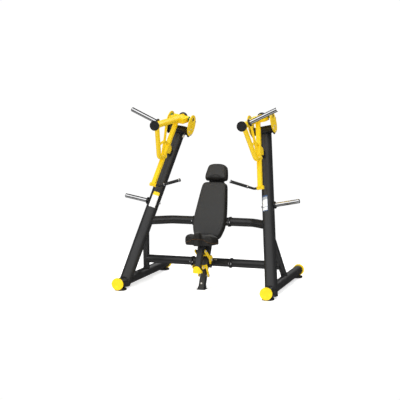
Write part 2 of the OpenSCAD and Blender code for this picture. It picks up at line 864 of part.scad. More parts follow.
module seat_carriage() {
    top = seat_z - 22;
    difference() {
        union() {
            intersection() {
                at_carriage() translate([0, carriage_shift, -30])
                    box_bar(carriage_w, carriage_depth, 12, 500);
                translate([-200, -1000, 0]) cube([400, 1000, top]);
            }
            translate([-80, -430, top - 8]) cube([160, 170, 8]);
            for (p = [low_eye, high_eye]) rod([-link_x + 1, p[0], p[1]], [link_x - 1, p[0], p[1]], 14);
        }
        intersection() {
            at_carriage() translate([0, carriage_shift, -40])
                box_bar(carriage_w - 2 * frame_wall, carriage_depth - 2 * frame_wall, 8, 500);
            translate([-200, -1000, 0]) cube([400, 1000, top - 8]);
        }
        for (p = [low_eye, high_eye]) rod([-100, p[0], p[1]], [100, p[0], p[1]], pin_r + gap);
        for (sx = [-1, 1], y = [-400, -300]) translate([sx * 60, y, top - 20]) cylinder(h = 30, r = 4.2);
    }
}

// Yellow shoe on the bottom of the carriage tube: arched in front, upright and rounded below, flat under
module carriage_cap() {
    difference() {
        intersection() {
            at_carriage() translate([0, shoe_rear, -shoe_r - 5]) rotate([90, 0, 0])
                linear_extrude(shoe_rear + shoe_front) {
                    circle(shoe_r);
                    translate([-shoe_r, -60]) square([2 * shoe_r, 60]);
                }
            translate([0, low_eye[0] - 12, low_eye[1] - 60]) cylinder(h = 200, r = shoe_r + 4);
        }
        at_carriage() translate([0, carriage_shift, -30 - gap])
            box_bar(carriage_w + 2 * gap, carriage_depth + 2 * gap, 12, 500);
        rod([-100, low_eye[0], low_eye[1]], [100, low_eye[0], low_eye[1]], 30);
    }
}

// Plan of the seat, d inside its edge: two thigh lobes with a pommel between them, narrow at the back
module seat_outline(d) {
    half = [[90 - d, seat_rear - d], [128 - d, seat_rear - 36 - d], [162 - d, seat_rear - 96],
            [seat_half - d, seat_front + 240], [seat_half - d, seat_front + 204],
            [seat_half - 18 - d, seat_front + 150], [seat_half - 40 - d, seat_front + 96 + d],
            [122, seat_front + 68 + d], [76, seat_front + 68 + d], [52 - d, seat_front + 66 + d],
            [40 - d, seat_front + 40 + d], [34 - d, seat_front + 14 + d], [20, seat_front + d]];
    polygon(both_halves(half));
}

// Prism across the seat from a side view, points as y and height above seat_z
module seat_profile(points) {
    translate([-300, 0, seat_z]) rotate([90, 0, 90]) linear_extrude(600) polygon(points);
}

// Prism along the seat from half of a front view
module seat_section(half) {
    translate([0, seat_rear + 60, seat_z]) rotate([90, 0, 0]) linear_extrude(560)
        polygon(both_halves(half));
}

// Solid under the pad: a flat board that swells to an arched front, raised by lift
module tray_form(lift) {
    translate([-300, seat_front - 60, seat_z - tray_t]) cube([600, 600, tray_t + lift]);
    intersection() {
        seat_section([[200, -tray_t], [200, -14 + lift], [150, -6 + lift], [110, 10 + lift],
                      [70, 34 + lift], [36, 46 + lift], [12, 50 + lift]]);
        seat_profile([[seat_front - 60, -tray_t], [seat_rear - 100, -tray_t], [seat_rear - 100, lift],
                      [seat_front + 90, 50 + lift], [seat_front - 60, 50 + lift]]);
    }
}

module seat_pan() {
    difference() {
        intersection() {
            translate([0, 0, seat_z - tray_t + gap]) linear_extrude(200) seat_outline(2);
            tray_form(0);
        }
        for (sx = [-1, 1], y = [-400, -300]) translate([sx * 60, y, seat_z - 40])
            cylinder(h = 30, r = 4.2);
        at_post() translate([-300, -post_depth / 2 - seat_close, 0]) cube([600, 400, 1200]);
    }
}

// Pad over the tray, falling to the back and cut away under the foot of the back pad
module seat_pad() {
    difference() {
        intersection() {
            translate([0, 0, seat_z - tray_t]) linear_extrude(300) seat_outline(0);
            seat_section([[200, -14], [200, 40], [seat_half - 8, 58], [146, 80], [115, 88], [72, 81],
                          [54, 84], [38, 112], [30, 132], [12, 133]]);
            seat_profile([[seat_front - 60, -14], [seat_rear + 20, -14], [seat_rear + 20, 38], [-250, 44],
                          [-430, 92], [-515, 133], [seat_front - 60, 133]]);
        }
        tray_form(pad_clear);
        at_post() translate([-300, pad_front - pad_apart, back_outline[0][1] - pad_apart])
            cube([600, 400, 600]);
    }
}

module link_outline(p, q, r) {
    v = q - p;
    translate(p) rotate([0, 0, atan2(v[1], v[0])]) {
        translate([0, -r]) square([norm(v), 2 * r]);
        circle(r);
        translate([norm(v), 0]) circle(r);
    }
}

// Both link plates and the round tie between them
module upper_links() {
    difference() {
        for (s = [0, 1]) mirror([s, 0, 0]) side_plate(link_x, link_t) union() {
            link_outline(high_pin, high_eye, 20);
            translate(high_pin) circle(disc_r);
        }
        for (p = [high_pin, high_eye]) rod([-80, p[0], p[1]], [80, p[0], p[1]], pin_r + run);
        for (a = lock_steps) lock_notch(a);
    }
    tie = high_pin + link_v * 0.52;
    rod([-link_x - 1, tie[0], tie[1]], [link_x + 1, tie[0], tie[1]], 9);
}

// Radial notch in the upper links' discs, a degrees below the lock pin
module lock_notch(a) {
    r = lock_pin_r + 0.4;
    translate([0, high_pin[0], high_pin[1]]) rotate([-a, 0, 0]) {
        rod([-80, lock_r, 0], [80, lock_r, 0], r);
        translate([-80, lock_r, -r]) cube([160, 30, 2 * r]);
    }
}

// Lower links: arched plates
module lower_links() {
    knee = (low_pin + low_eye) / 2 + [24, 60];
    difference() {
        for (s = [0, 1]) mirror([s, 0, 0]) side_plate(link_x, link_t) union() {
            link_outline(low_pin, knee, 20);
            link_outline(knee, low_eye, 20);
        }
        rod([-80, low_pin[0], low_pin[1]], [80, low_pin[0], low_pin[1]], pin_r + run);
        rod([-80, low_eye[0], low_eye[1]], [80, low_eye[0], low_eye[1]], pin_r + 0.3);
    }
    rod([-link_x - 1, knee[0], knee[1]], [link_x + 1, knee[0], knee[1]], 9);
}

// Pin across both link plates, with a head at each end
module link_pin(p) {
    end = link_x + link_t + 0.5;
    rod([-end - 6, p[0], p[1]], [end + 6, p[0], p[1]], pin_r);
    for (x = [-end - 7, end]) translate([x, p[0], p[1]]) hex_head(13, 7);
}

// Spacer tube between the post and a link plate
module pin_spacer(p) {
    for (s = [0, 1]) mirror([s, 0, 0]) difference() {
        rod([post_w / 2 + gap, p[0], p[1]], [link_x - 0.5, p[0], p[1]], 14);
        rod([post_w / 2 - 1, p[0], p[1]], [link_x, p[0], p[1]], pin_r - 0.5);
    }
}

module post_link_pins() {
    for (p = [low_pin, high_pin]) {
        link_pin(p);
        pin_spacer(p);
    }
}

module carriage_link_pins() {
    for (p = [low_eye, high_eye]) link_pin(p);
}

module lock_pin() {
    spot = lock_spot;
    translate([0, spot[0], spot[1]]) rotate([0, 90, 0]) {
        translate([0, 0, bracket_x - 6]) cylinder(h = knob_x - bracket_x + 7, r = lock_pin_r);
        translate([0, 0, knob_x]) cylinder(h = 5, r = 9);
        translate([0, 0, knob_x + 4]) cylinder(h = 13, r = 11);
    }
}

color(charcoal) translate([-base_x, 0, base_z]) base_tube();  // base_tube_left
color(charcoal) translate([base_x, 0, base_z]) base_tube();  // base_tube_right
color(yellow) base_end_caps();
color(black) rubber_feet();
color(charcoal) on_side(left) column();  // column_left
color(charcoal) on_side(right) column();  // column_right
color(charcoal) on_side(left) rear_brace();  // rear_brace_left
color(charcoal) on_side(right) rear_brace();  // rear_brace_right
color(black) on_side(left) pivot_head();  // pivot_head_left
color(black) on_side(right) pivot_head();  // pivot_head_right
color(yellow) on_side(left) cheek_plates();  // cheek_plates_left
color(yellow) on_side(right) cheek_plates();  // cheek_plates_right
color(chrome) cheek_bolts();
color(chrome) on_side(left) pivot_shaft();  // pivot_shaft_left
color(chrome) on_side(right) pivot_shaft();  // pivot_shaft_right
color(green) cheek_bushes();
color(charcoal) lower_crossbars();
color(charcoal) upper_crossbars();
color(chrome) crossbar_bolts();
color(charcoal) seat_post();
color(black) post_foot();
color(black) back_board();
color(vinyl) back_pad();
color(black) head_bracket();
color(vinyl) head_pad();
color(chrome) frame_bolts();
color(chrome) on_side(left) storage_horn();  // storage_horn_left
color(chrome) on_side(right) storage_horn();  // storage_horn_right
color(black) storage_collars();
color(yellow) on_side(left) arm_lever();  // arm_lever_left
color(yellow) on_side(right) arm_lever();  // arm_lever_right
color(yellow) on_side(left) arm_loop();  // arm_loop_left
color(yellow) on_side(right) arm_loop();  // arm_loop_right
color(yellow) on_side(left) arm_drop();  // arm_drop_left
color(yellow) on_side(right) arm_drop();  // arm_drop_right
color(green) on_side(left) arm_bushes();  // arm_bushes_left
color(green) on_side(right) arm_bushes();  // arm_bushes_right
color(black) on_side(left) lever_caps();  // lever_caps_left
color(black) on_side(right) lever_caps();  // lever_caps_right
color(chrome) on_side(left) weight_horn();  // weight_horn_left
color(chrome) on_side(right) weight_horn();  // weight_horn_right
color(black) on_side(left) horn_collar();  // horn_collar_left
color(black) on_side(right) horn_collar();  // horn_collar_right
color(black) on_side(left) stop_bumper();  // stop_bumper_left
color(black) on_side(right) stop_bumper();  // stop_bumper_right
color(black) on_side(left) handle_bar();  // handle_bar_left
color(black) on_side(right) handle_bar();  // handle_bar_right
color(black) on_side(left) hand_grip();  // hand_grip_left
color(black) on_side(right) hand_grip();  // hand_grip_right
color(chrome) on_side(left) grip_rings();  // grip_rings_left
color(chrome) on_side(right) grip_rings();  // grip_rings_right
color(charcoal) seat_carriage();
color(yellow) carriage_cap();
color(black) seat_pan();
color(vinyl) seat_pad();
color(yellow) upper_links();
color(yellow) lower_links();
color(chrome) post_link_pins();
color(chrome) carriage_link_pins();
color(chrome) lock_pin();
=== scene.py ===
"""Looks for a plate-loaded chest press: materials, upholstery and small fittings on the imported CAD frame.

Lengths are metres. side_to_world() gives the leant frame of one side (outwards, front to back, up),
and POST gives the frame of the reclined post (across, square to the post, up along it)."""
import json
import math

import bpy
import bmesh
from mathutils import Matrix, Vector
from mathutils.bvhtree import BVHTree
from mathutils.kdtree import KDTree


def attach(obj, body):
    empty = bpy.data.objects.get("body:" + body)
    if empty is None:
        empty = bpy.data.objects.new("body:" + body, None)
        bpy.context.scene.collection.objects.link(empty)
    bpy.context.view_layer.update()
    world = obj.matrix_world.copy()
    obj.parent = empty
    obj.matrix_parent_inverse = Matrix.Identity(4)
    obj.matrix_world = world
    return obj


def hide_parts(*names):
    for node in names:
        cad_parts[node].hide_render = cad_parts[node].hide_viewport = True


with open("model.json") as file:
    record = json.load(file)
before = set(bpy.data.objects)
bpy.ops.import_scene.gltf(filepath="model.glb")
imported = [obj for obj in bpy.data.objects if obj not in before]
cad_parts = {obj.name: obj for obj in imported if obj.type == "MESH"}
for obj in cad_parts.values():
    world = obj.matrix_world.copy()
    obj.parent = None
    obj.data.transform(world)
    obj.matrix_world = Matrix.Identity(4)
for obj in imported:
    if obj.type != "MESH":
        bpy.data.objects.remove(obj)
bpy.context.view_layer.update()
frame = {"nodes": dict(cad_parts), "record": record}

TAU = 2 * math.pi

# ---- the frame's own places, as in the CAD ----
BASE_X, BASE_Z = 0.867, 0.081
LEAN_IN = math.radians(10.9)
RAKE = math.radians(28.9)
COLUMN_R, BASE_R, BRACE_R = 0.070, 0.057, 0.038
COLUMN_FOOT_Y = -0.557
BRACE_FOOT_Y, BRACE_RAKE = 0.102, math.radians(26.2)
ARM_X, PIVOT_Y, PIVOT_Z = -0.012, 0.339, 1.903
LEVER_R, LEVER_SLOPE = 0.038, math.radians(5.5)
SLEEVE_Y, SLEEVE_Z = -0.227, 1.113
HORN_R, STORE_Z = 0.025, 0.885
POST_FOOT_Y, POST_LEAN = -0.3726, math.radians(27.35)
SEAT_Z = 0.548
GRIP_D, GRIP_LEN, GRIP_FROM = 0.036, 0.190, 0.072
STOP_X, STOP_Z, STOP_FORWARD = -0.0795, 1.690, 0.035
STOP_SIZE, STOP_ROUND = (0.020, 0.024, 0.048), 0.004
BEND_X, BEND_R, BEND_UP = -0.058, 0.050, math.radians(27.9)
HANDLE_ROLL = math.radians(15.2)


def side_to_world(side):
    """side -1 left, +1 right: (outwards, y, up the side frame) to the row frame."""
    m = Matrix.Translation((BASE_X, 0, BASE_Z)) @ Matrix.Rotation(-LEAN_IN, 4, "Y")
    return (Matrix.Diagonal((side, 1, 1, 1)) @ m) if side < 0 else m


POST = Matrix.Translation((0, POST_FOOT_Y, 0)) @ Matrix.Rotation(-POST_LEAN, 4, "X")
SIDES = ((-1, "left"), (1, "right"))


# ---- node materials ----

class Mat:
    """A node material with a Principled shader and short calls for the nodes used here."""

    def __init__(self, name, colour, rough=0.5, metal=0.0, space="Object"):
        self.mat = bpy.data.materials.new(name)
        self.mat.use_nodes = True
        self.tree = self.mat.node_tree
        self.shader = self.tree.nodes["Principled BSDF"]
        self.shader.inputs["Metallic"].default_value = metal
        self.shader.inputs["Roughness"].default_value = rough
        self.shader.inputs["Base Color"].default_value = (*colour, 1)
        self.colour = colour
        self.coords = self.add("ShaderNodeTexCoord").outputs[space]

    def add(self, kind, **inputs):
        node = self.tree.nodes.new(kind)
        for key, value in inputs.items():
            if hasattr(node, key):
                setattr(node, key, value)
            else:
                self.feed(node.inputs[key.replace("_", " ")], value)
        return node

    def feed(self, socket, value):
        if isinstance(value, bpy.types.NodeSocket):
            self.tree.links.new(value, socket)
        else:
            socket.default_value = value

    def noise(self, scale, detail=3.0, stretch=None):
        node = self.add("ShaderNodeTexNoise", Scale=scale, Detail=detail)
        at = self.coords
        if stretch:
            at = self.add("ShaderNodeMapping", Vector=at, Scale=stretch).outputs[0]
        self.feed(node.inputs["Vector"], at)
        return node.outputs["Fac"]

    def spread(self, fac, low, high, start=0.3, end=0.7):
        node = self.add("ShaderNodeMapRange")
        for key, value in (("Value", fac), ("From Min", start), ("From Max", end),
                           ("To Min", low), ("To Max", high)):
            self.feed(node.inputs[key], value)
        return node.outputs[0]

    def math(self, what, a, b=0.0):
        node = self.add("ShaderNodeMath", operation=what)
        self.feed(node.inputs[0], a)
        self.feed(node.inputs[1], b)
        return node.outputs[0]

    def mix(self, fac, a, b):
        node = self.add("ShaderNodeMix", data_type="RGBA")
        for index, value in ((0, fac), (6, a), (7, b)):
            if index and not isinstance(value, bpy.types.NodeSocket):
                value = (*value, 1)
            self.feed(node.inputs[index], value)
        return node.outputs[2]

    def bump(self, height, distance, strength=0.5, under=None):
        node = self.add("ShaderNodeBump", Height=height, Distance=distance, Strength=strength)
        if under is not None:
            self.feed(node.inputs["Normal"], under)
        return node.outputs[0]

    def set(self, **inputs):
        for key, value in inputs.items():
            self.feed(self.shader.inputs[key.replace("_", " ")], value)
        return self

    def worn_edges(self, radius=0.003):
        """0 on flat faces, up to 1 where a face turns a corner."""
        bevel = self.add("ShaderNodeBevel", samples=4, Radius=radius).outputs[0]
        normal = self.add("ShaderNodeNewGeometry").outputs["Normal"]
        dot = self.add("ShaderNodeVectorMath", operation="DOT_PRODUCT")
        self.feed(dot.inputs[0], bevel)
        self.feed(dot.inputs[1], normal)
        return self.spread(dot.outputs["Value"], 1.0, 0.0, 0.80, 0.94)


def shade(colour, k):
    return tuple(min(1.0, c * k) for c in colour)


def powder_coat(name, colour, rough=0.35, peel=0.25, wear=None, cloudy=1.0, grain=260.0):
    """Powder coat: orange-peel bump, cloudy gloss, faint dust, paint thinned to the wear colour at edges."""
    m = Mat(name, colour, rough)
    cloud = m.noise(3.0, 4)
    fine = m.noise(grain, 2)
    scuffs = m.noise(14.0, 6, (1.0, 1.0, 0.25))
    base = m.mix(m.spread(cloud, 0.0, 1.0), shade(colour, 1 - 0.07 * cloudy), shade(colour, 1 + 0.06 * cloudy))
    base = m.mix(m.spread(scuffs, 0.0, 0.25 * cloudy, 0.60, 0.74), base, shade(colour, 1.3))
    if wear:
        edge = m.math("MULTIPLY", m.worn_edges(), m.spread(m.noise(90.0, 3), 0.0, 1.0, 0.48, 0.62))
        base = m.mix(m.math("MULTIPLY", edge, 0.7), base, wear)
    gloss = m.math("ADD", m.spread(scuffs, rough - 0.05, rough + 0.09), m.spread(fine, -0.02, 0.02))
    m.set(Base_Color=base, Roughness=gloss)
    if peel:
        m.set(Normal=m.bump(fine, 0.0004, peel))
    return m.mat


def chrome_plate(name, tint, rough, metal=1.0):
    m = Mat(name, tint, rough, metal)
    hair = m.noise(900.0, 2, (1.0, 1.0, 0.04))
    smear = m.noise(9.0, 5)
    m.set(Base_Color=m.mix(m.spread(smear, 0.0, 1.0), shade(tint, 0.88), shade(tint, 1.06)))
    m.set(Roughness=m.math("ADD", m.spread(smear, rough * 0.6, rough * 1.5), m.spread(hair, 0.0, 0.04)))
    m.set(Normal=m.bump(hair, 0.00015, 0.15))
    return m.mat


def moulded(name, colour, rough, grain=420.0, depth=0.0004, strength=0.3):
    """Moulded plastic or rubber: fine pebble grain and a few lighter scuffs."""
    m = Mat(name, colour, rough)
    pebble = m.noise(grain, 2)
    scuffs = m.noise(30.0, 6)
    m.set(Base_Color=m.mix(m.spread(scuffs, 0.0, 0.5, 0.55, 0.75), colour, shade(colour, 1.9)))
    m.set(Roughness=m.spread(scuffs, rough - 0.06, rough + 0.1), Normal=m.bump(pebble, depth, strength))
    return m.mat


def woven_vinyl(name, colour, pitch, rough, depth=0.0006):
    """Upholstery vinyl with a woven emboss: two crossed sets of ribs on the post's own axes."""
    m = Mat(name, colour, rough)
    turned = m.add("ShaderNodeMapping", Vector=m.coords, Rotation=(POST_LEAN, 0, 0)).outputs[0]
    axes = m.add("ShaderNodeSeparateXYZ", Vector=turned).outputs
    turn = TAU / pitch
    across = m.math("SINE", m.math("MULTIPLY", axes[0], turn))
    along = m.math("SINE", m.math("MULTIPLY", m.math("ADD", axes[2], axes[1]), turn))
    weave = m.math("MULTIPLY", across, along)
    weave = m.math("ADD", m.math("MULTIPLY", weave, 0.5), 0.5)
    leather = m.noise(55.0, 6)
    cloud = m.noise(5.0, 4)
    base = m.mix(m.spread(weave, 0.0, 1.0, 0.1, 0.9), shade(colour, 0.72), shade(colour, 1.22))
    base = m.mix(m.spread(cloud, 0.0, 0.35), base, shade(colour, 1.3))
    under = m.bump(leather, 0.0015, 0.12)
    m.set(Base_Color=base, Roughness=m.spread(cloud, rough - 0.05, rough + 0.08))
    m.set(Normal=m.bump(weave, depth, 0.55, under), Sheen_Weight=0.15, Sheen_Roughness=0.4)
    return m.mat


def grained_vinyl(name, colour, rough):
    """Plain side-band vinyl with a fine leather grain."""
    m = Mat(name, colour, rough)
    cells = m.add("ShaderNodeTexVoronoi", Scale=520.0, Vector=m.coords).outputs["Distance"]
    folds = m.noise(38.0, 6)
    base = m.mix(m.spread(folds, 0.0, 1.0), shade(colour, 0.8), shade(colour, 1.35))
    m.set(Base_Color=base, Roughness=m.spread(folds, rough - 0.06, rough + 0.08))
    m.set(Normal=m.bump(cells, 0.0004, 0.4, m.bump(folds, 0.0012, 0.15)))
    return m.mat


CHARCOAL = (0.019, 0.019, 0.0195)
YELLOW = (0.90, 0.60, 0.0)
MATS = {
    "frame_paint": powder_coat("frame_paint", CHARCOAL, 0.34, 0.25, (0.16, 0.16, 0.16)),
    "black_paint": powder_coat("black_paint", (0.012, 0.012, 0.013), 0.3, 0.22, (0.14, 0.14, 0.14)),
    "yellow_paint": powder_coat("yellow_paint", YELLOW, 0.40, 0.0, None, 0.4, 60.0),
    "yellow_plastic": moulded("yellow_plastic", (0.93, 0.64, 0.0), 0.36, 300.0, 0.0003, 0.2),
    "black_plastic": moulded("black_plastic", (0.014, 0.014, 0.015), 0.4),
    "rubber": moulded("rubber", (0.017, 0.017, 0.017), 0.72, 500.0, 0.0006, 0.5),
    "chrome": chrome_plate("chrome", (0.80, 0.80, 0.81), 0.05),
    "steel_bolt": chrome_plate("steel_bolt", (0.74, 0.74, 0.75), 0.30, 0.45),
    "green_bush": moulded("green_bush", (0.02, 0.33, 0.07), 0.42, 300.0),
    "vinyl": woven_vinyl("vinyl", (0.027, 0.027, 0.0265), 0.0042, 0.55),
    "board": moulded("board", (0.016, 0.015, 0.014), 0.6, 160.0, 0.0008, 0.4),
}
SIDE_VINYL = grained_vinyl("vinyl_side", (0.014, 0.013, 0.0115), 0.42)
PIPING = grained_vinyl("piping", (0.011, 0.011, 0.010), 0.36)
THREAD = moulded("thread", (0.09, 0.088, 0.082), 0.65, 2500.0, 0.0002, 0.6)
RUST_THREAD = moulded("seam_trim", (0.085, 0.045, 0.018), 0.6, 900.0, 0.0003, 0.5)
IVORY = moulded("ivory_plastic", (0.70, 0.66, 0.55), 0.45, 260.0)

SLOT_OF = {entry["node"]: entry["material_slot"] for entry in frame["record"]["subparts"]}
for node_name, node in frame["nodes"].items():
    coat = MATS[SLOT_OF[node_name]]
    if node.material_slots:
        for material_slot in node.material_slots:
            material_slot.material = coat
    else:
        node.data.materials.append(coat)


# ---- mesh helpers ----

def new_piece(name, verts, faces, mats, body, keys=None):
    mesh = bpy.data.meshes.new(name)
    mesh.from_pydata([tuple(v) for v in verts], [], faces)
    for mat in mats:
        mesh.materials.append(mat)
    if keys:
        mesh.polygons.foreach_set("material_index", keys)
    mesh.polygons.foreach_set("use_smooth", [True] * len(mesh.polygons))
    mesh.update()
    obj = bpy.data.objects.new(name, mesh)
    bpy.context.scene.collection.objects.link(obj)
    work = bmesh.new()
    work.from_mesh(mesh)
    bmesh.ops.recalc_face_normals(work, faces=work.faces)
    work.to_mesh(mesh)
    work.free()
    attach(obj, body)
    return obj


def sweep(path, radius, sides=8, closed=True):
    """Tube mesh along a path; radius is a number or a function of the path's index."""
    verts, faces = [], []
    count = len(path)
    up = None
    for i, p in enumerate(path):
        ahead = path[(i + 1) % count] if closed or i < count - 1 else p
        behind = path[i - 1] if closed or i > 0 else p
        along = (ahead - behind).normalized()
        if up is None:
            up = along.orthogonal().normalized()
        up = (up - along * up.dot(along)).normalized()
        out = along.cross(up)
        r = radius(i) if callable(radius) else radius
        for k in range(sides):
            a = TAU * k / sides
            verts.append(p + r * (math.cos(a) * up + math.sin(a) * out))
    for i in range(count if closed else count - 1):
        j = (i + 1) % count
        for k in range(sides):
            n = (k + 1) % sides
            faces.append((i * sides + k, i * sides + n, j * sides + n, j * sides + k))
    if not closed:
        faces.append(tuple(range(sides)))
        faces.append(tuple((count - 1) * sides + k for k in range(sides)))
    return verts, faces


def merge(parts):
    verts, faces = [], []
    for v, f in parts:
        shift = len(verts)
        verts += list(v)
        faces += [tuple(i + shift for i in face) for face in f]
    return verts, faces


def lathe(profile, steps=48):
    """Closed solid from (radius, along) pairs, turned about local z."""
    verts, faces = [], []
    for r, z in profile:
        for k in range(steps):
            a = TAU * k / steps
            verts.append(Vector((r * math.cos(a), r * math.sin(a), z)))
    rows = len(profile)
    for i in range(rows):
        j = (i + 1) % rows
        for k in range(steps):
            n = (k + 1) % steps
            faces.append((i * steps + k, i * steps + n, j * steps + n, j * steps + k))
    return verts, faces


def placed(part, matrix):
    verts, faces = part
    return [matrix @ Vector(v) for v in verts], faces


def smooth_loop(points, count):
    """Closed Catmull-Rom curve through points, resampled to even steps."""
    fine = []
    total = len(points)
    for i in range(total):
        a, b, c, d = (points[(i + k) % total] for k in (-1, 0, 1, 2))
        for step in range(16):
            t = step / 16
            fine.append(0.5 * ((2 * b) + (c - a) * t + (2 * a - 5 * b + 4 * c - d) * t * t
                               + (3 * b - a - 3 * c + d) * t ** 3))
    lengths = [0.0]
    for i in range(len(fine)):
        lengths.append(lengths[-1] + (fine[(i + 1) % len(fine)] - fine[i]).length)
    out, j = [], 0
    for k in range(count):
        want = lengths[-1] * k / count
        while lengths[j + 1] < want:
            j += 1
        f = (want - lengths[j]) / max(1e-9, lengths[j + 1] - lengths[j])
        out.append(fine[j % len(fine)].lerp(fine[(j + 1) % len(fine)], f))
    return out


# ---- upholstery ----

VOXEL, SEAT_VOXEL = 0.006, 0.005        # mesh size of a cushion before it is subdivided
PINNED_SHARE = 0.2                      # part of a cushion's depth, next to its board, that cannot swell
PRESSURE, CLOTH_STIFFNESS = 4.0, 20
CLOTH_FRAMES = 16


def padded(name, outline, centre, rings, to_world, mats, body, node, pick, puff, voxel=VOXEL):
    """Closed cushion from rings of (inset, fraction towards the centre, depth function).

    outline is a closed loop of 2-D points, to_world turns (x, y, depth) into the row frame, pick gives a
    face its material from its centre and normal, puff is how far the cloth may swell."""
    verts, faces = [], []
    size = len(outline)
    for inset, toward, depth in rings:
        for p in outline:
            ray = p - centre
            q = centre + ray * (1 - inset / ray.length) * (1 - toward)
            verts.append(to_world @ Vector((q.x, q.y, depth(q))))
    for i in range(len(rings) - 1):
        for k in range(size):
            n = (k + 1) % size
            faces.append((i * size + k, i * size + n, (i + 1) * size + n, (i + 1) * size + k))
    for row in (0, len(rings) - 1):
        hub = len(verts)
        verts.append(to_world @ Vector((centre.x, centre.y, rings[row][2](centre))))
        for k in range(size):
            faces.append((row * size + k, row * size + (k + 1) % size, hub))
    obj = new_piece(name, verts, faces, mats, body)
    remesh = obj.modifiers.new("even", "REMESH")
    remesh.mode = "VOXEL"
    remesh.voxel_size = voxel
    bake(obj)
    swell(obj, to_world, puff)
    soften = obj.modifiers.new("soften", "SMOOTH")
    soften.factor = 0.5
    soften.iterations = 3
    finer = obj.modifiers.new("finer", "SUBSURF")
    finer.levels = finer.render_levels = 1
    bake(obj)
    mesh = obj.data
    back = to_world.to_3x3().inverted()
    keys = []
    for poly in mesh.polygons:
        keys.append(pick(to_world.inverted() @ poly.center, (back @ poly.normal).normalized()))
    mesh.materials.clear()
    for mat in mats:
        mesh.materials.append(mat)
    mesh.polygons.foreach_set("material_index", keys)
    mesh.polygons.foreach_set("use_smooth", [True] * len(mesh.polygons))
    mesh.update()
    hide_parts(node)
    return obj


def bake(obj):
    """Applies every modifier of obj."""
    bpy.context.view_layer.update()
    deps = bpy.context.evaluated_depsgraph_get()
    result = bpy.data.meshes.new_from_object(obj.evaluated_get(deps), depsgraph=deps)
    old = obj.data
    obj.modifiers.clear()
    obj.data = result
    bpy.data.meshes.remove(old)


def swell(obj, to_world, limit):
    """Cloth under pressure from inside, its board side pinned, its travel limited."""
    before = [v.co.copy() for v in obj.data.vertices]
    local = to_world.inverted()
    depths = [(local @ co).z for co in before]
    low, high = min(depths), max(depths)
    pinned = [i for i, d in enumerate(depths) if d < low + PINNED_SHARE * (high - low)]
    group = obj.vertex_groups.new(name="pinned")
    group.add(pinned, 1.0, "REPLACE")
    cloth = obj.modifiers.new("cloth", "CLOTH")
    settings = cloth.settings
    settings.use_pressure = True
    settings.uniform_pressure_force = PRESSURE
    settings.tension_stiffness = settings.compression_stiffness = CLOTH_STIFFNESS
    settings.bending_stiffness = 1.0
    settings.vertex_group_mass = "pinned"
    settings.effector_weights.gravity = 0
    cloth.collision_settings.use_collision = False
    for step in range(1, CLOTH_FRAMES + 1):
        bpy.context.scene.frame_set(step)
    deps = bpy.context.evaluated_depsgraph_get()
    puffed = obj.evaluated_get(deps).to_mesh()
    after = [v.co.copy() for v in puffed.vertices]
    obj.evaluated_get(deps).to_mesh_clear()
    obj.modifiers.clear()
    bpy.context.scene.frame_set(1)
    for vertex, a, b in zip(obj.data.vertices, before, after):
        step = b - a
        if step.length > limit:
            step *= limit / step.length
        vertex.co = a + step
    obj.vertex_groups.clear()


def surface_of(obj):
    deps = bpy.context.evaluated_depsgraph_get()
    return BVHTree.FromObject(obj, deps)


def groove(obj, path, width, depth):
    """Pulls a sewn channel into a cushion along a closed path."""
    tree = KDTree(len(path))
    for i, p in enumerate(path):
        tree.insert(p, i)
    tree.balance()
    normals = [v.normal.copy() for v in obj.data.vertices]
    for vertex, normal in zip(obj.data.vertices, normals):
        gap = tree.find(vertex.co)[2]
        if gap < 3 * width:
            vertex.co -= normal * depth * math.exp(-(gap / width) ** 2)
    obj.data.update()


def cord(name, path, radius, mat, body):
    verts, faces = sweep(path, radius, 8)
    return new_piece(name, verts, faces, [mat], body)


THREAD_R = 0.0006


def stitches(name, path, spacing, mat, body, tree):
    """Short raised stitches along a closed path on a surface."""
    parts = []
    travelled = 0.0
    for i, p in enumerate(path):
        q = path[(i + 1) % len(path)]
        leg = (q - p).length
        travelled += leg
        if travelled < spacing:
            continue
        travelled -= spacing
        along = (q - p).normalized()
        near, normal = tree.find_nearest(p)[:2]
        half = spacing * 0.32
        line = [near + normal * (THREAD_R * lift) + along * (half * at)
                for at, lift in ((-1, -0.6), (-0.6, 0.7), (0.0, 1.0), (0.6, 0.7), (1, -0.6))]
        parts.append(sweep(line, THREAD_R, 5, closed=False))
    verts, faces = merge(parts)
    return new_piece(name, verts, faces, [mat], body)


def both_halves(half):
    return [Vector(p) for p in half] + [Vector((-x, y)) for x, y in reversed(half)]


def seam_loop(obj, outline, centre, inset, to_world, depth):
    """Closed loop on a cushion's surface, inset from its outline."""
    tree = surface_of(obj)
    path = []
    for p in outline:
        ray = p - centre
        q = centre + ray * (1 - inset / ray.length)
        hit = tree.find_nearest(to_world @ Vector((q.x, q.y, depth)))[0]
        path.append(hit)
    return path, tree


# Post frame with depth towards the user: (across, up the post, forwards)
POST_PAD = POST @ Matrix(((1, 0, 0, 0), (0, 0, -1, 0), (0, 1, 0, 0), (0, 0, 0, 1)))
BOARD_AT, HEAD_BOARD_AT = 0.0605, 0.0467     # front faces of the boards, from the post's axis
BACK_FACE, HEAD_FACE = 0.138, 0.134
CROWN, ROLL = 0.006, 0.026                   # bulge of a pad's face and radius of its front edge
SIDE_BULGE = 0.006
PUFF, SEAT_PUFF = 0.004, 0.003               # how far the cloth may swell
SEAM_IN, STITCH_IN = 0.007, 0.013
STITCH_GAP = 0.006
STEPS = 200


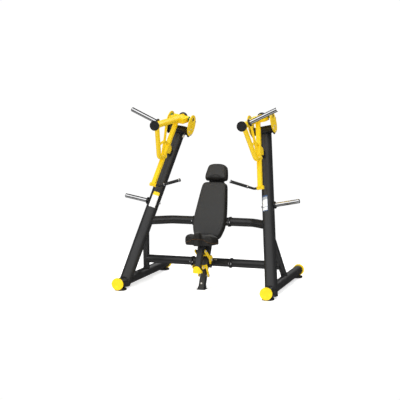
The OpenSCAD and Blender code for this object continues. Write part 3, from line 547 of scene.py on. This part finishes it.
def pad_rings(back, front, crown, roll, sides_out):
    """Rings for a slab cushion: flat back, bulged side, rolled front edge, crowned face."""
    rings = [(0.012, 0.6, lambda q: back), (0.012, 0.3, lambda q: back), (0.010, 0.0, lambda q: back),
             (0.003, 0.0, lambda q: back + 0.004)]
    for f in (0.15, 0.3, 0.5, 0.7, 0.85):
        d = back + f * (front - roll - back)
        rings.append((sides_out * (1 - math.sin(math.pi * min(1.0, 0.25 + 0.65 * f))), 0.0, lambda q, d=d: d))
    for k in range(1, 8):
        a = math.pi / 2 * k / 8
        inset = sides_out + roll * (1 - math.cos(a))
        d = front - roll + roll * math.sin(a)
        rings.append((inset, 0.0, lambda q, d=d: d))
    for toward in (0.0, 0.06, 0.14, 0.25, 0.4, 0.55, 0.7, 0.85):
        d = front + crown * (1 - (1 - toward) ** 3)
        rings.append((sides_out + roll, toward, lambda q, d=d: d))
    return rings


def vinyl_pick(front_normal):
    return lambda centre, normal: 0 if normal.dot(front_normal) > 0.62 else 1


def slab_cushion(name, half, centre_y, back, front, crown, roll, node, body, puff):
    outline = smooth_loop(both_halves(half), STEPS)
    centre = Vector((0.0, centre_y))
    obj = padded(name, outline, centre, pad_rings(back, front, crown, roll, SIDE_BULGE), POST_PAD,
                 [MATS["vinyl"], SIDE_VINYL], body, node, vinyl_pick(Vector((0, 0, 1))), puff)
    seam_in = SEAM_IN + roll * 0.35
    front_seam, tree = seam_loop(obj, outline, centre, seam_in, POST_PAD, front - 0.2 * roll)
    groove(obj, front_seam, 0.004, 0.0022)
    cord(name + "_piping", front_seam, 0.0027, PIPING, body)
    stitch_line, tree = seam_loop(obj, outline, centre, seam_in + STITCH_IN, POST_PAD, front + 0.01)
    stitches(name + "_stitches", stitch_line, STITCH_GAP, THREAD, body, tree)
    back_seam, tree = seam_loop(obj, outline, centre, 0.0, POST_PAD, back + 0.010)
    cord(name + "_rear_piping", back_seam, 0.0024, PIPING, body)
    return obj


# Half outlines in the post frame: (half width, height up the post)
BACK_HALF = [(0.060, 0.582), (0.114, 0.584), (0.144, 0.593), (0.161, 0.618), (0.176, 0.660), (0.190, 0.705),
             (0.197, 0.755), (0.199, 0.806), (0.195, 0.890), (0.185, 0.990), (0.174, 1.080), (0.163, 1.160),
             (0.154, 1.225), (0.142, 1.264), (0.121, 1.283), (0.090, 1.290), (0.040, 1.292)]
HEAD_HALF = [(0.050, 1.3205), (0.108, 1.3215), (0.129, 1.328), (0.136, 1.350), (0.132, 1.395), (0.125, 1.440),
             (0.117, 1.476), (0.105, 1.500), (0.082, 1.514), (0.050, 1.522), (0.018, 1.526)]
BACK_MIDDLE, HEAD_MIDDLE = 0.900, 1.412
slab_cushion("back_cushion", BACK_HALF, BACK_MIDDLE, BOARD_AT, BACK_FACE, CROWN, ROLL, "back_pad", "frame", PUFF)
slab_cushion("head_cushion", HEAD_HALF, HEAD_MIDDLE, HEAD_BOARD_AT, HEAD_FACE, CROWN, ROLL, "head_pad", "frame",
             PUFF)


# ---- seat: two thigh lobes with a pommel between them, over an arched tray ----

# Half plan: (half width, front to back)
SEAT_PLAN = [(0.040, -0.187), (0.086, -0.188), (0.118, -0.206), (0.144, -0.250), (0.172, -0.300),
             (0.189, -0.342), (0.192, -0.368), (0.187, -0.400), (0.174, -0.442), (0.154, -0.484),
             (0.128, -0.508), (0.095, -0.514), (0.068, -0.515), (0.051, -0.525), (0.040, -0.548),
             (0.032, -0.573), (0.016, -0.583)]
SEAT_LOCAL = Matrix.Translation((0, 0, SEAT_Z))


def ease(t):
    t = max(0.0, min(1.0, t))
    return t * t * (3 - 2 * t)


def tray_top(q):
    """Top of the arched tray under the pad, above the board."""
    x = abs(q.x)
    arch = (0.050 - 0.016 * ease((x - 0.01) / 0.06) - 0.024 * ease((x - 0.06) / 0.05)
            - 0.024 * ease((x - 0.10) / 0.09))
    slope = max(0.0, min(1.0, (-0.282 - q.y) / 0.198))
    return max(0.0005, arch * slope) if arch > 0 else arch * ease(slope * 2)


def seat_top(q):
    """Height of the pad above its board at a place in plan."""
    x, y = abs(q.x), q.y
    front = 0.080 + 0.010 * math.exp(-((x - 0.115) / 0.032) ** 2) - 0.014 * ease((x - 0.134) / 0.060)
    fall = 0.040 * ease((y + 0.43) / 0.19)
    pommel = 0.052 * math.exp(-(x / 0.038) ** 4) * ease((-0.435 - y) / 0.080)
    tuck = 0.031 - 0.517 * (y + 0.182) - 0.006
    height = front - fall + pommel
    if y > -0.262:
        height = min(height, max(tuck - 0.02 * ease((y + 0.262) / 0.02), 0.012))
    return height


def seat_rings():
    """Rings for the seat: over the tray from the middle out, up the side, round the edge and back in."""
    under = lambda q: tray_top(q) + 0.0012
    rings = [(0.010, toward, under) for toward in (0.8, 0.6, 0.4, 0.2)]
    rings += [(0.006, 0.0, under), (0.0015, 0.0, lambda q: under(q) + 0.004)]
    for f in (0.25, 0.5):
        rings.append((-0.001, 0.0, lambda q, f=f: under(q) + f * (seat_top(q) - under(q))))
    roll = 0.016
    for k in range(1, 7):
        a = math.pi / 2 * k / 7
        drop = lambda q: min(roll, 0.5 * (seat_top(q) - under(q)))
        rings.append((roll * (1 - math.cos(a)), 0.0,
                      lambda q, a=a: seat_top(q) - drop(q) * (1 - math.sin(a))))
    for toward in (0.0, 0.04, 0.08, 0.13, 0.19, 0.26, 0.34, 0.42, 0.51, 0.6, 0.7, 0.8, 0.9):
        rings.append((roll, toward, seat_top))
    return rings


seat_outline = smooth_loop(both_halves(SEAT_PLAN), STEPS)
SEAT_CENTRE = Vector((0.0, -0.350))
seat = padded("seat_cushion", seat_outline, SEAT_CENTRE, seat_rings(), SEAT_LOCAL,
              [MATS["vinyl"], SIDE_VINYL], "seat", "seat_pad", vinyl_pick(Vector((0, 0, 1))), SEAT_PUFF,
              SEAT_VOXEL)


def rim_path(inset, height):
    """Closed loop on the seat pad near its rim, at a height given for each place in plan."""
    surface = surface_of(seat)
    path = []
    for p in seat_outline:
        ray = p - SEAT_CENTRE
        q = SEAT_CENTRE + ray * (1 - inset / ray.length)
        path.append(surface.find_nearest(SEAT_LOCAL @ Vector((q.x, q.y, height(q))))[0])
    return path, surface


low_seam, seat_tree = rim_path(-0.002, lambda q: tray_top(q) + 0.006)
cord("seat_piping", low_seam, 0.0030, RUST_THREAD, "seat")
high_seam, seat_tree = rim_path(0.016, lambda q: seat_top(q) + 0.004)
stitches("seat_stitches", high_seam, STITCH_GAP, THREAD, "seat", seat_tree)


# ---- ribbed hand grips ----

def grip_profile():
    outer, inner = GRIP_D / 2, 0.0143
    start, stop = GRIP_FROM + 0.0003, GRIP_FROM + GRIP_LEN - 0.0003
    profile = [(inner, start), (outer - 0.002, start), (outer, start + 0.003)]
    ribs = 22
    length = stop - start - 0.012
    for i in range(ribs):
        at = start + 0.006 + length * i / ribs
        rib = length / ribs
        profile += [(outer, at), (outer - 0.0011, at + rib * 0.2), (outer - 0.0011, at + rib * 0.4),
                    (outer, at + rib * 0.6)]
    profile += [(outer, stop - 0.003), (outer - 0.002, stop), (inner, stop)]
    return profile


def grip_matrix(side):
    at_handle = (side_to_world(side) @ Matrix.Translation((ARM_X, SLEEVE_Y, SLEEVE_Z))
                 @ Matrix.Rotation(HANDLE_ROLL, 4, "X"))
    bend_end = (BEND_X - BEND_R * math.sin(BEND_UP), 0, BEND_R * (1 - math.cos(BEND_UP)))
    return at_handle @ Matrix.Translation(bend_end) @ Matrix.Rotation(BEND_UP - math.pi / 2, 4, "Y")


for side, word in SIDES:
    verts, faces = placed(lathe(grip_profile(), 40), grip_matrix(side))
    grip = new_piece("ribbed_grip_" + word, verts, faces, [MATS["rubber"]], "arm_" + word)
    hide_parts("hand_grip_" + word)


# ---- weld beads where tubes meet ----

def meet(axis_point, axis_dir, r, at_point, at_dir, big_r, from_side, steps=72):
    """Ring where a tube of radius r meets a larger round tube, coming from from_side of it."""
    axis_dir, at_dir = axis_dir.normalized(), at_dir.normalized()
    u = axis_dir.orthogonal().normalized()
    v = axis_dir.cross(u)
    ring = []
    for k in range(steps):
        a = TAU * k / steps
        p = axis_point + r * (math.cos(a) * u + math.sin(a) * v) - at_point
        across = p - at_dir * p.dot(at_dir)
        move = axis_dir - at_dir * axis_dir.dot(at_dir)
        qa, qb, qc = move.dot(move), 2 * across.dot(move), across.dot(across) - big_r * big_r
        root = qb * qb - 4 * qa * qc
        if root < 0:
            continue
        t = (-qb + from_side * math.sqrt(root)) / (2 * qa)
        ring.append(at_point + p + t * axis_dir)
    return ring


BEAD_R, THIN_BEAD_R = 0.0042, 0.0036
BEAD_STEP = 0.003
WHOLE_RING = 50         # fewer points than this means the tubes do not fully meet


def bead(ring, r=BEAD_R):
    """Rippled weld bead along a closed ring of points."""
    wave = lambda i: r * (1 + 0.16 * math.sin(i * 2.1) + 0.05 * math.sin(i * 0.7))
    length = sum((ring[i] - ring[i - 1]).length for i in range(len(ring)))
    return sweep(smooth_loop(ring, max(60, int(length / BEAD_STEP))), wave, 7)


def side_vec(n, y, w):
    return Vector((n, y, w))


def column_y(w):
    return COLUMN_FOOT_Y + w * math.tan(RAKE)


COLUMN_DIR = side_vec(0, math.sin(RAKE), math.cos(RAKE))
BRACE_DIR = side_vec(0, -math.sin(BRACE_RAKE), math.cos(BRACE_RAKE))
LEVER_DIR = side_vec(0, math.cos(LEVER_SLOPE), math.sin(LEVER_SLOPE))
ALONG_Y = side_vec(0, 1, 0)
COLUMN_FOOT = side_vec(0, COLUMN_FOOT_Y, 0)
BRACE_FOOT = side_vec(0, BRACE_FOOT_Y, 0)
PIVOT = side_vec(ARM_X, PIVOT_Y, PIVOT_Z)

frame_rings = [
    meet(BRACE_FOOT, BRACE_DIR, BRACE_R, BRACE_FOOT, ALONG_Y, BASE_R, 1),
    meet(BRACE_FOOT, BRACE_DIR, BRACE_R, COLUMN_FOOT, COLUMN_DIR, COLUMN_R, -1),
    meet(side_vec(0, column_y(STORE_Z), STORE_Z), side_vec(1, 0, 0), HORN_R, COLUMN_FOOT, COLUMN_DIR,
         COLUMN_R, 1),
]
LOOP_TOP, LOOP_CORNER, LOOP_R = side_vec(ARM_X, -0.451, 1.822), side_vec(ARM_X, -0.199, 1.450), 0.026
arm_rings = [meet(LOOP_TOP, LOOP_CORNER - LOOP_TOP, LOOP_R, PIVOT, LEVER_DIR, LEVER_R, 1)]
for side, word in SIDES:
    matrix = side_to_world(side)
    parts = [placed(bead(ring), matrix) for ring in frame_rings if len(ring) > WHOLE_RING]
    verts, faces = merge(parts)
    new_piece("weld_beads_" + word, verts, faces, [MATS["frame_paint"]], "frame")
    parts = [placed(bead(ring, THIN_BEAD_R), matrix) for ring in arm_rings if len(ring) > WHOLE_RING]
    verts, faces = merge(parts)
    new_piece("arm_weld_beads_" + word, verts, faces, [MATS["yellow_paint"]], "arm_" + word)


# ---- plain patches on the columns, in place of printed labels ----

def label_material(name, band):
    m = Mat(name, (0.95, 0.95, 0.94), 0.3)
    smudge = m.noise(12.0, 5)
    m.set(Base_Color=m.mix(m.spread(smudge, 0.0, 0.5), band, shade(band, 0.9)))
    m.set(Roughness=m.spread(smudge, 0.22, 0.38))
    return m.mat


LABEL_MATS = {"white": label_material("label_white", (0.97, 0.97, 0.96)),
              "yellow": label_material("label_yellow", (1.0, 0.70, 0.02)),
              "blue": label_material("label_blue", (0.05, 0.10, 0.21)),
              "grey": label_material("label_grey", (0.42, 0.45, 0.48))}


def column_patch(side, word, low, high, half_angle, facing, rows):
    """Thin curved sheet on the column's front; rows are (height share, border colour, inner colour)."""
    lift, thick = 0.0004, 0.0007
    matrix = side_to_world(side)
    base = side_vec(0, column_y(0), 0)
    fwd = side_vec(0, -math.cos(RAKE), math.sin(RAKE))
    out = side_vec(1, 0, 0)
    across, up = 24, 40
    verts, faces, keys = [], [], []
    names = list(LABEL_MATS)
    for layer in (lift + thick, lift):
        for j in range(up + 1):
            s = low + (high - low) * j / up
            for i in range(across + 1):
                a = facing + half_angle * (2 * i / across - 1)
                ray = out * math.sin(a) + fwd * math.cos(a)
                verts.append(matrix @ (base + COLUMN_DIR * s + ray * (COLUMN_R + layer)))
    row = across + 1
    layer_size = row * (up + 1)
    for j in range(up):
        share = (j + 0.5) / up
        border, inner = next((b, c) for top, b, c in rows if share <= top)
        for i in range(across):
            edge = i in (0, across - 1)
            a = j * row + i
            faces.append((a, a + 1, a + row + 1, a + row))
            keys.append(names.index(border if edge else inner))
            b = a + layer_size
            faces.append((b, b + row, b + row + 1, b + 1))
            keys.append(names.index("white"))
    rim = ([i for i in range(row)] + [j * row + across for j in range(1, up + 1)]
           + [up * row + i for i in range(across - 1, -1, -1)] + [j * row for j in range(up - 1, 0, -1)])
    for a, b in zip(rim, rim[1:] + rim[:1]):
        faces.append((a, b, b + layer_size, a + layer_size))
        keys.append(names.index("white"))
    return new_piece("blank_label_" + word, verts, faces, list(LABEL_MATS.values()), "frame",
                     keys=keys)


LABEL_LOW, LABEL_HIGH = 0.925, 1.120     # along the column from its foot
column_patch(-1, "left", LABEL_LOW, LABEL_HIGH, 0.55, -0.25, [(0.78, "white", "white"), (1.0, "yellow", "yellow")])
column_patch(1, "right", LABEL_LOW, LABEL_HIGH, 0.50, -0.30,
             [(0.06, "blue", "blue"), (0.22, "blue", "white"), (0.27, "blue", "grey"), (0.72, "blue", "white"),
              (0.90, "blue", "grey"), (1.0, "blue", "blue")])


# ---- ivory stop blocks on the inner side of each column, under the pivot head ----

def rounded_block(size, bevel):
    work = bmesh.new()
    bmesh.ops.create_cube(work, size=1.0)
    bmesh.ops.scale(work, vec=size, verts=work.verts)
    bmesh.ops.bevel(work, geom=list(work.edges), offset=bevel, segments=3, affect="EDGES", profile=0.5)
    work.verts.index_update()
    part = ([v.co.copy() for v in work.verts], [tuple(v.index for v in f.verts) for f in work.faces])
    work.free()
    return part


for side, word in SIDES:
    matrix = (side_to_world(side) @ Matrix.Translation((STOP_X, column_y(STOP_Z) - STOP_FORWARD, STOP_Z))
              @ Matrix.Rotation(-RAKE, 4, "X"))
    verts, faces = placed(rounded_block(STOP_SIZE, STOP_ROUND), matrix)
    new_piece("stop_block_" + word, verts, faces, [IVORY], "frame")


# ---- camera, light and floor ----

def aim_light(name, place, target, size, power, mirrored=True):
    data = bpy.data.lights.new(name, "AREA")
    data.shape = "RECTANGLE"
    data.size, data.size_y = size
    data.energy = power
    lamp = bpy.data.objects.new(name, data)
    lamp.location = place
    lamp.rotation_euler = (Vector(target) - Vector(place)).to_track_quat("-Z", "Y").to_euler()
    lamp.visible_glossy = mirrored
    bpy.context.scene.collection.objects.link(lamp)


CAMERA_AT, CAMERA_TURN = (3.429, -10.646, 2.139), (84.1344, 0.0, 18.5629)

camera_data = bpy.data.cameras.new("camera")
camera_data.lens = 86.4
camera_data.sensor_width = 36.0
camera_data.clip_end = 200.0
camera = bpy.data.objects.new("camera", camera_data)
camera.location = CAMERA_AT
camera.rotation_euler = [math.radians(turn) for turn in CAMERA_TURN]
bpy.context.scene.collection.objects.link(camera)
bpy.context.scene.camera = camera

FLOOR_SIZE, FLOOR_BELOW = 7.0, 0.0005
FADE_FROM, FADE_TO = 1.6, 3.4            # the floor fades out between these distances from the middle

floor_mat = Mat("floor", (0.9, 0.9, 0.9), 0.8)
cloudy = floor_mat.mix(floor_mat.spread(floor_mat.noise(1.2, 3), 0.0, 1.0), (0.90, 0.90, 0.90),
                       (0.93, 0.93, 0.93))
away = floor_mat.add("ShaderNodeVectorMath", operation="LENGTH")
floor_mat.feed(away.inputs[0], floor_mat.coords)
floor_mat.set(Base_Color=cloudy, Specular_IOR_Level=0.1)
floor_mat.set(Emission_Color=(1, 1, 1, 1), Emission_Strength=0.50)
floor_mat.set(Alpha=floor_mat.spread(away.outputs["Value"], 1.0, 0.0, FADE_FROM, FADE_TO))
bpy.ops.mesh.primitive_plane_add(size=FLOOR_SIZE, location=(0, 0, -FLOOR_BELOW))
floor = bpy.context.object
floor.name = "floor"
floor.data.materials.append(floor_mat.mat)
floor.visible_glossy = False
floor_mat.mat.cycles.emission_sampling = "NONE"


def studio_world():
    """White to the camera, even grey to matt surfaces, a dark studio with soft boxes to mirrors."""
    world = bpy.data.worlds.new("studio")
    bpy.context.scene.world = world
    world.use_nodes = True
    tree = world.node_tree

    def node(kind, **values):
        made = tree.nodes.new(kind)
        for key, value in values.items():
            setattr(made, key, value)
        return made

    split = node("ShaderNodeSeparateXYZ")
    tree.links.new(node("ShaderNodeTexCoord").outputs["Generated"], split.inputs[0])
    front = node("ShaderNodeMath", operation="MULTIPLY")
    front.inputs[1].default_value = -1.0
    tree.links.new(split.outputs["Y"], front.inputs[0])
    turn = node("ShaderNodeMath", operation="ARCTAN2")
    tree.links.new(split.outputs["Z"], turn.inputs[0])
    tree.links.new(front.outputs[0], turn.inputs[1])
    share = node("ShaderNodeMapRange")
    share.inputs["From Min"].default_value = -math.pi
    share.inputs["From Max"].default_value = math.pi
    tree.links.new(turn.outputs[0], share.inputs["Value"])
    ramp = node("ShaderNodeValToRGB")
    bands = ramp.color_ramp
    bands.elements[0].color = bands.elements[1].color = (0.03, 0.03, 0.03, 1)
    # angle up from the floor in front of the machine, over the top to the wall behind it
    for degrees, level in ((-150, 0.05), (-96, 0.05), (-86, 0.50), (-42, 0.42), (-34, 0.03), (6, 0.03),
                           (12, 1.20), (64, 1.20), (74, 0.03), (150, 0.02)):
        bands.elements.new((degrees + 180) / 360).color = (level, level, level, 1)
    tree.links.new(share.outputs[0], ramp.inputs[0])
    rays = node("ShaderNodeLightPath")
    shiny = node("ShaderNodeMix", data_type="RGBA")
    tree.links.new(rays.outputs["Is Glossy Ray"], shiny.inputs[0])
    shiny.inputs[6].default_value = (0.62, 0.62, 0.62, 1)
    tree.links.new(ramp.outputs[0], shiny.inputs[7])
    seen = node("ShaderNodeMix", data_type="RGBA")
    tree.links.new(rays.outputs["Is Camera Ray"], seen.inputs[0])
    tree.links.new(shiny.outputs[2], seen.inputs[6])
    seen.inputs[7].default_value = (1.02, 1.02, 1.02, 1)
    tree.links.new(seen.outputs[2], tree.nodes["Background"].inputs["Color"])


studio_world()
aim_light("overhead", (0.5, -0.5, 6.0), (0, 0, 0.5), (6, 5), 210, False)
aim_light("front_left", (-4.5, -6.5, 3.6), (0, 0, 1.0), (3, 3), 180, False)
aim_light("front_right", (5.5, -5.5, 2.6), (0, 0, 0.9), (2.5, 3), 110, False)
aim_light("back", (0.5, 6.5, 4.0), (0, 0, 1.0), (5, 2), 60)
bpy.context.scene.view_settings.view_transform = "Standard"
bpy.context.scene.cycles.sample_clamp_indirect = 2.0
bpy.context.scene.cycles.use_light_tree = False
